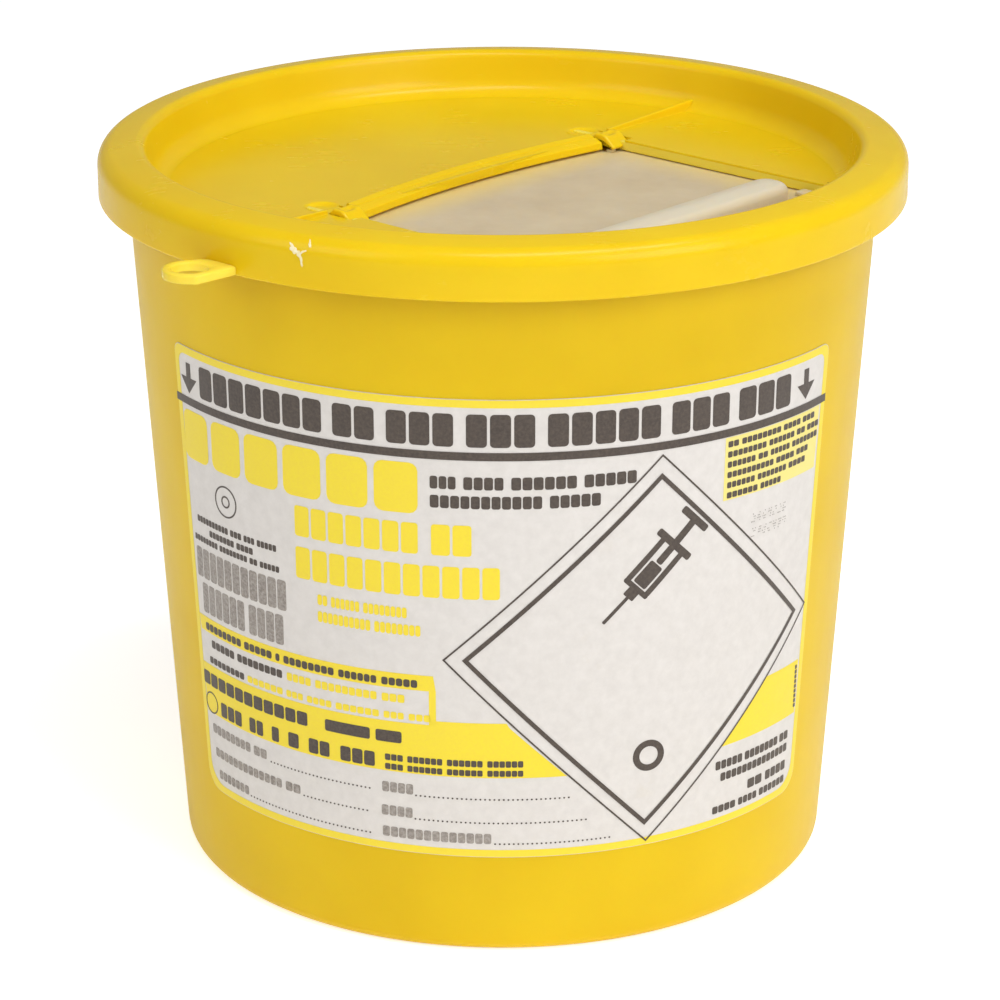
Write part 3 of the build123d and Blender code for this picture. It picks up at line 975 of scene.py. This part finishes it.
def row(start, low, high, words, gap=1.2, letter=None):
    """One greeked row: a bar for each word's length, or blocks of about one letter's width."""
    blocks, at = [], start
    for length in words:
        count = 1 if letter is None else max(1, round(length / letter))
        edges = at + np.linspace(0, length, count + 1)
        space = 0 if letter is None else letter * 0.13
        blocks += [(a, b - space, low, high) for a, b in zip(edges, edges[1:])]
        at += length + gap
    return blocks


def dotted(start, end, z, pitch=1.05):
    """Round dots along a line."""
    at = np.arange(start, end, pitch)
    return [(u, u + 0.45, z, z + 0.42) for u in at]


def label_border():
    """Printed border: the band between the label's outline and the same outline drawn in."""
    z_outer, z_inner = label_heights(0.12), label_heights(BORDER)
    outer_left, outer_right = label_edges(z_outer, 0.12)
    inner_left, inner_right = label_edges(z_inner, BORDER)

    def loop(left, right, z):
        across = np.linspace(0, 1, 120)[1:-1, None]
        low_left, low_right = np.array([left[0], z[0]]), np.array([right[0], z[0]])
        high_left, high_right = np.array([left[-1], z[-1]]), np.array([right[-1], z[-1]])
        low = low_left + (low_right - low_left) * across
        high = high_right + (high_left - high_right) * across
        return np.concatenate([low, np.column_stack([right, z]), high, np.column_stack([left, z])[::-1]])

    band = closed_band(loop(outer_left, outer_right, z_outer), loop(inner_left, inner_right, z_inner))
    printed("label_border", INK_YELLOW, band)


def fill_line():
    """Heavy line across the label at the fill height, with an arrow pointing at it at each end."""
    line = bars([(-89.0, 87.2, 122.2, 124.1)], 0.05, 1)
    shapes = [line]
    for u in (-83.0, 78.2):
        shapes.append(bars([(u - 0.95, u + 0.95, 128.6, 132.5)], 0.1))
        shapes.append(panel([(u - 0.05, 125.2), (u + 0.05, 125.2), (u + 3.4, 129.0), (u - 3.4, 129.0)]))
    heading = row(-78.4, 125.3, 133.0, (37.9, 10.6, 15.6, 15.6, 26.2, 15.6, 17.2), 2.1, 5.1)
    printed("fill_line", INK_DARK, *shapes)
    printed("fill_line_heading", INK_DARK, bars(heading, 0.9))


def left_rows():
    """Greeked rows on the label's left: a large word, a plain round mark, contents and disposal rows."""
    printed("alert_word", INK_YELLOW, bars(row(-86.2, 109.0, 121.0, (69.0,), 0, 11.5), 2.0))
    waste = row(-16.0, 115.3, 118.3, (6.0, 9.0, 14.6, 12.2), 1.4, 2.3)
    waste += row(-16.0, 110.8, 113.8, (24.8, 11.6), 1.4, 2.3)
    printed("waste_class_rows", INK_DARK, bars(waste, 0.5))
    disposal = row(-48.8, 99.4, 106.8, (30.6, 9.5), 2.4, 4.3) + row(-48.8, 89.1, 96.8, (48.7,), 0, 4.4)
    disposal += row(-43.2, 83.5, 86.1, (2.7, 7.2, 10.4), 0.8, 1.3)
    disposal += row(-43.2, 79.3, 82.0, (13.3, 10.9), 0.8, 1.3)
    printed("disposal_rows", INK_YELLOW, bars(disposal, 0.7))
    printed("test_mark", INK_DARK, ring((-70.4, 102.0), 3.9, 0.4), ring((-70.4, 102.0), 1.5, 0.4))
    small = row(-82.4, 93.9, 95.5, (12.5, 4.0, 3.6, 6.0), 0.7, 1.3)
    small += row(-77.4, 91.3, 92.9, (9.5, 5.6), 0.8, 1.3)
    small += row(-84.0, 88.9, 90.4, (9.8, 10.0, 2.6, 6.0), 0.7, 1.3)
    printed("approval_rows", INK_DARK, bars(small, 0.3))
    contents = row(-83.7, 79.8, 87.3, (32.2,), 0, 3.0) + row(-81.8, 71.0, 78.5, (16.8, 11.2), 1.2, 2.8)
    printed("contents_rows", INK_GREY, bars(contents, 0.6))


def yellow_bands():
    """Yellow bands across the label's lower half and the rows printed on them."""
    left_edge, right_edge = -83.6, 81.4
    top, middle, bottom = 69.8, 58.7, 45.0
    strip = panel([(left_edge, 66.0), (-15.0, 66.0), (-15.6, top), (left_edge - 0.6, top)])
    upright = panel([(-16.6, 57.6), (-15.0, 57.6), (-15.0, 66.1), (-16.6, 66.1)])
    band_top = middle - 1.1
    left_band = panel([(left_edge + 1.0, bottom), (14.4, bottom), (1.4, band_top), (left_edge, band_top)])
    step = panel([(-16.6, middle - 1.2), (1.5, middle - 1.2), (0.8, middle), (-16.6, middle)])
    right_band = panel([(53.9, bottom), (right_edge - 0.6, bottom), (right_edge, middle), (68.3, middle)])
    printed("yellow_bands", INK_YELLOW, strip, upright, left_band, step, right_band)
    over = row(-81.2, 66.6, 68.5, (14.4, 9.2, 1.4, 14.0, 9.6, 8.6), 1.0, 1.7)
    over += row(-83.6, 52.1, 55.5, (37.2,), 0, 3.3) + row(-42.0, 52.3, 55.2, (11.4, 6.2), 1.4)
    over += row(-76.2, 45.6, 49.3, (8.6, 5.0, 2.6, 3.4, 6.0, 9.0), 2.5, 3.0)
    printed("band_rows", INK_DARK, bars(over, 0.5, 1), ring((-80.4, 47.6), 2.8, 0.35, 1))
    code_words = (4.4, 8.2, 8.2, 8.2)
    codes = row(-27.0, 47.7, 49.3, code_words, 0.9, 1.3) + row(-27.0, 45.4, 46.9, code_words, 0.9, 1.3)
    printed("band_codes", INK_DARK, bars(codes, 0.3, 1))
    inset = row(-79.0, 62.5, 64.5, (9.4, 15.0), 1.0, 1.8) + row(-80.2, 58.3, 60.0, (14.0,), 0, 1.8)
    printed("inset_rows_dark", INK_DARK, bars(inset, 0.4))
    pale = row(-52.4, 62.5, 64.5, (7.0, 15.8, 5.6), 1.0, 1.8)
    pale += row(-65.2, 58.3, 60.0, (11.6, 5.0, 6.8, 11.0, 5.0, 5.2), 0.9, 1.8)
    printed("inset_rows_yellow", INK_YELLOW, bars(pale, 0.4))


def form_rows():
    """Rows to fill in: a short greeked heading and a dotted line each."""
    headings = row(-80.6, 39.9, 42.3, (15.6, 4.6), 1.0, 1.9) + row(-27.8, 39.6, 42.2, (7.6,), 0, 1.9)
    headings += row(-79.8, 33.9, 36.2, (25.0, 4.6), 1.0, 1.9) + row(-28.0, 33.6, 36.2, (7.6,), 0, 1.9)
    headings += row(-78.6, 28.3, 30.6, (12.4,), 0, 1.9) + row(-27.8, 28.2, 30.8, (25.4,), 0, 1.9)
    dots = dotted(-58.4, -31.0, 39.6) + dotted(-20.0, 15.4, 39.3) + dotted(-48.6, -31.0, 33.7)
    dots += dotted(-20.2, 19.4, 33.3) + dotted(-65.8, -30.6, 28.2) + dotted(-2.0, 24.6, 28.0)
    printed("form_headings", INK_GREY, bars(headings, 0.45))
    printed("form_dots", INK_DARK, bars(dots, 0.2))


def diamond_panel():
    """Diamond frame in two lines, with a plain syringe sign and a plain ring below it."""
    thin = frame_line([(35.9, 121.2), (-13.5, 74.0), (33.4, 25.6), (83.0, 72.8)], 0.4, 1)
    thick = frame_line([(35.8, 116.7), (-9.1, 74.1), (33.0, 29.9), (78.7, 72.4)], 1.05, 1)
    printed("diamond_frame", INK_DARK, thin, thick)
    upright = dict(turn=45.0, centre=(34.6, 94.4))
    parts = [
        bars([(-6.4, 6.4, 2.4, 3.8), (-6.4, 6.4, -3.8, -2.4), (-7.2, -5.9, -3.8, 3.8)], 0.5, **upright),
        bars([(5.6, 7.4, -5.6, 5.6), (-5.6, 0.6, -1.9, 1.9)], 0.5, **upright),
        bars([(0.9, 13.4, -0.9, 0.9), (13.0, 14.8, -4.4, 4.4)], 0.5, **upright),
        bars([(-9.4, -7.0, -1.5, 1.5), (-17.4, -9.3, -0.42, 0.42)], 0.3, **upright),
    ]
    printed("diamond_sign", INK_DARK, *parts)
    printed("diamond_number", INK_DARK, ring((33.8, 47.6), 3.9, 1.6))


def right_rows():
    """Pale box of small rows at the upper right, a dotted lot mark, and the rows at the lower right."""
    box = panel([(51.9, 106.9), (83.6, 106.9), (84.6, 122.0), (52.2, 122.0)])
    printed("side_box", INK_PALE, box)
    lengths = [
        (3.2, 12.6, 6.4, 5.0),
        (11.8, 9.0, 3.4, 5.0),
        (8.4, 3.2, 6.8, 10.4),
        (14.4, 6.6, 4.8),
        (8.4, 9.8, 6.6),
        (9.4, 7.0),
    ]
    rows = []
    for number, words in enumerate(lengths):
        low = 119.6 - 2.46 * number
        rows += row(52.9, low, low + 1.45, words, 0.8, 1.5)
    printed("side_box_rows", INK_DARK, bars(rows, 0.3, 1))
    draws = np.random.default_rng(7).random((2, 7, 12))
    dots = []
    for line, z in enumerate((99.6, 96.0)):
        for letter in range(7):
            for spot in np.nonzero(draws[line, letter] > 0.45)[0]:
                u = 60.6 + 1.75 * letter + 0.42 * (spot % 3) + 0.15 * (spot // 3)
                height = z + 0.62 * (spot // 3)
                dots.append((u, u + 0.26, height, height + 0.26))
    printed("lot_dots", INK_GREY, bars(dots, 0.12))
    lower = row(52.2, 39.2, 41.4, (8.6, 12.4, 3.8), 0.7, 1.7) + row(53.8, 36.0, 38.1, (24.4,), 0, 1.7)
    lower += row(62.8, 31.3, 33.7, (5.4, 8.6), 1.1, 2.2) + row(51.6, 27.9, 29.8, (7.4, 6.6, 10.4), 0.8, 1.7)
    printed("lower_right_rows", INK_DARK, bars(lower, 0.4))
    side = [(80.0, 80.9, z, z + 1.0) for z in np.arange(46.5, 57.0, 1.25)]
    printed("edge_code", INK_DARK, bars(side, 0.2, 1))


def scuff():
    """Scraped spot on the rim at the front left: ragged pale burrs that stand a little off the skirt."""
    burrs = [  # (along, up, length, width, lean in degrees, phase), from the spot's middle
        (-0.9, 0.7, 1.5, 0.62, -35, 0.3),
        (0.5, -0.4, 1.2, 0.45, -60, 1.7),
        (1.3, 0.5, 0.9, 0.22, 30, 2.9),
        (0.9, -1.9, 1.0, 0.2, -75, 4.1),
        (2.6, 2.2, 0.7, 0.28, -65, 5.3),
    ]
    piece("rim_scuff", "lid", "lid", SCUFF_PALE, joined(*[scuff_burr(*values) for values in burrs]))


def scuff_burr(along, up, length, width, lean, phase):
    """Flat patch bent to the skirt and closed at the back.

    Its edge is an ellipse, with three sine waves added to its radius and turned by the lean.
    """
    centre_angle, centre_z = np.radians(-27.6), 168.4
    proud, sunk = 0.08, -0.15
    turn = np.radians(np.arange(0, 360, 10))
    ragged = 1 + 0.22 * np.sin(3 * turn + phase) + 0.16 * np.sin(5 * turn + 2 * phase)
    ragged += 0.12 * np.sin(9 * turn + 3 * phase)
    cosine, sine = np.cos(np.radians(lean)), np.sin(np.radians(lean))
    rings = []
    for share, off in ((0.0, proud), (0.6, proud), (1.0, 0.02), (1.0, sunk), (0.0, sunk)):
        a = share * length * ragged * np.cos(turn)
        b = share * width * ragged * np.sin(turn)
        u = along + a * cosine - b * sine
        z = centre_z + up + a * sine + b * cosine
        radius = lid_skin(z) + off
        angle = centre_angle + u / LID_RADIUS
        rings.append(np.stack([radius * np.sin(angle), -radius * np.cos(angle), z], -1))
    return lofted(np.stack(rings))


def lid_skin(z):
    """Radius of the lid's outside at a height: the skirt's, less the shoulder's round above it."""
    round_start = SHOULDER_Z - 3.47
    above = np.clip(z - round_start, 0, SHOULDER_FILLET * 0.95)
    return LID_RADIUS - SHOULDER_FILLET + np.sqrt(SHOULDER_FILLET**2 - above**2)


# ======================================================================= studio


def floor():
    """Plain pale floor that glows faintly, and more to the camera than to the container on it."""
    size, cells = 4.0, 9
    line = np.linspace(-size, size, cells)
    x, y = np.meshgrid(line, line, indexing="ij")
    mesh = bpy.data.meshes.new("floor")
    mesh.from_pydata(np.stack([x, y, 0 * x], -1).reshape(-1, 3).tolist(), [], quads(cells, cells).tolist())
    ground = bpy.data.objects.new("floor", mesh)
    bpy.context.scene.collection.objects.link(ground)
    n = Nodes("floor_paper")
    clouds = n.ramp(n.noise(60, 3), 0.3, 0.7)
    n.link(n.mix(clouds, (0.90, 0.90, 0.90), (0.92, 0.92, 0.92)), n.shader.inputs["Base Color"])
    n.shader.inputs["Roughness"].default_value = 0.9
    n.shader.inputs["Emission Color"].default_value = (1, 1, 1, 1)
    all_round, to_camera = 0.26, 0.32
    straight = n.add("ShaderNodeLightPath").outputs["Is Camera Ray"]
    glow = n.math("ADD", n.math("MULTIPLY", straight, to_camera), all_round)
    n.link(glow, n.shader.inputs["Emission Strength"])
    mesh.materials.append(n.material)


def softbox(name, place, size, power):
    """White rectangular lamp at a place, turned to face the container's middle."""
    light = bpy.data.lights.new(name, "AREA")
    light.shape = "RECTANGLE"
    light.size, light.size_y = size
    light.energy = power
    lamp = bpy.data.objects.new(name, light)
    lamp.location = place
    lamp.rotation_euler = (Vector((0, 0, 0.09)) - Vector(place)).to_track_quat("-Z", "Y").to_euler()
    bpy.context.scene.collection.objects.link(lamp)


def studio():
    """Even pale surroundings, a large lamp at the front right, a weaker one at the left, one overhead."""
    world = bpy.data.worlds.new("studio")
    world.use_nodes = True
    world.node_tree.nodes["Background"].inputs["Color"].default_value = (1.0, 0.99, 0.975, 1)
    world.node_tree.nodes["Background"].inputs["Strength"].default_value = 0.30
    bpy.context.scene.world = world
    softbox("key", (0.85, -0.85, 0.8), (0.8, 0.8), 8.8)
    softbox("fill", (-0.95, -0.7, 0.85), (0.8, 0.8), 4.4)
    softbox("overhead", (0.2, -0.3, 1.1), (0.8, 0.2), 5.2)


def camera():
    """Camera in front of the label, looking down on the lid."""
    distance, elevation, aim_height = 0.89721, 0.3530, 0.08189
    lens, side_shift = 133.82, -0.003
    data = bpy.data.cameras.new("camera")
    data.lens = lens
    data.sensor_width = 36.0
    data.shift_x = side_shift
    data.clip_start = 0.05
    eye = bpy.data.objects.new("camera", data)
    aim = Vector((0, 0, aim_height))
    eye.location = aim + distance * Vector((0, -np.cos(elevation), np.sin(elevation)))
    eye.rotation_euler = (aim - eye.location).to_track_quat("-Z", "Y").to_euler()
    bpy.context.scene.collection.objects.link(eye)
    bpy.context.scene.camera = eye
    bpy.context.scene.view_settings.view_transform = "Standard"


camera()
studio()
floor()
tub()
lid_rim()
lid_deck()
lid_bridge()
lid_rib(-1, "lid_rib_near")
lid_rib(1, "lid_rib_far")
lid_rail(-1, "lid_rail_near")
lid_rail(1, "lid_rail_far")
lid_rail_end()
tie_loop()
scuff()
door_plate()
door_lugs()
catch(-1, "catch_near", "catch_near")
catch(1, "catch_far", "catch_far")
label_sheet()
label_border()
fill_line()
left_rows()
yellow_bands()
form_rows()
diamond_panel()
right_rows()
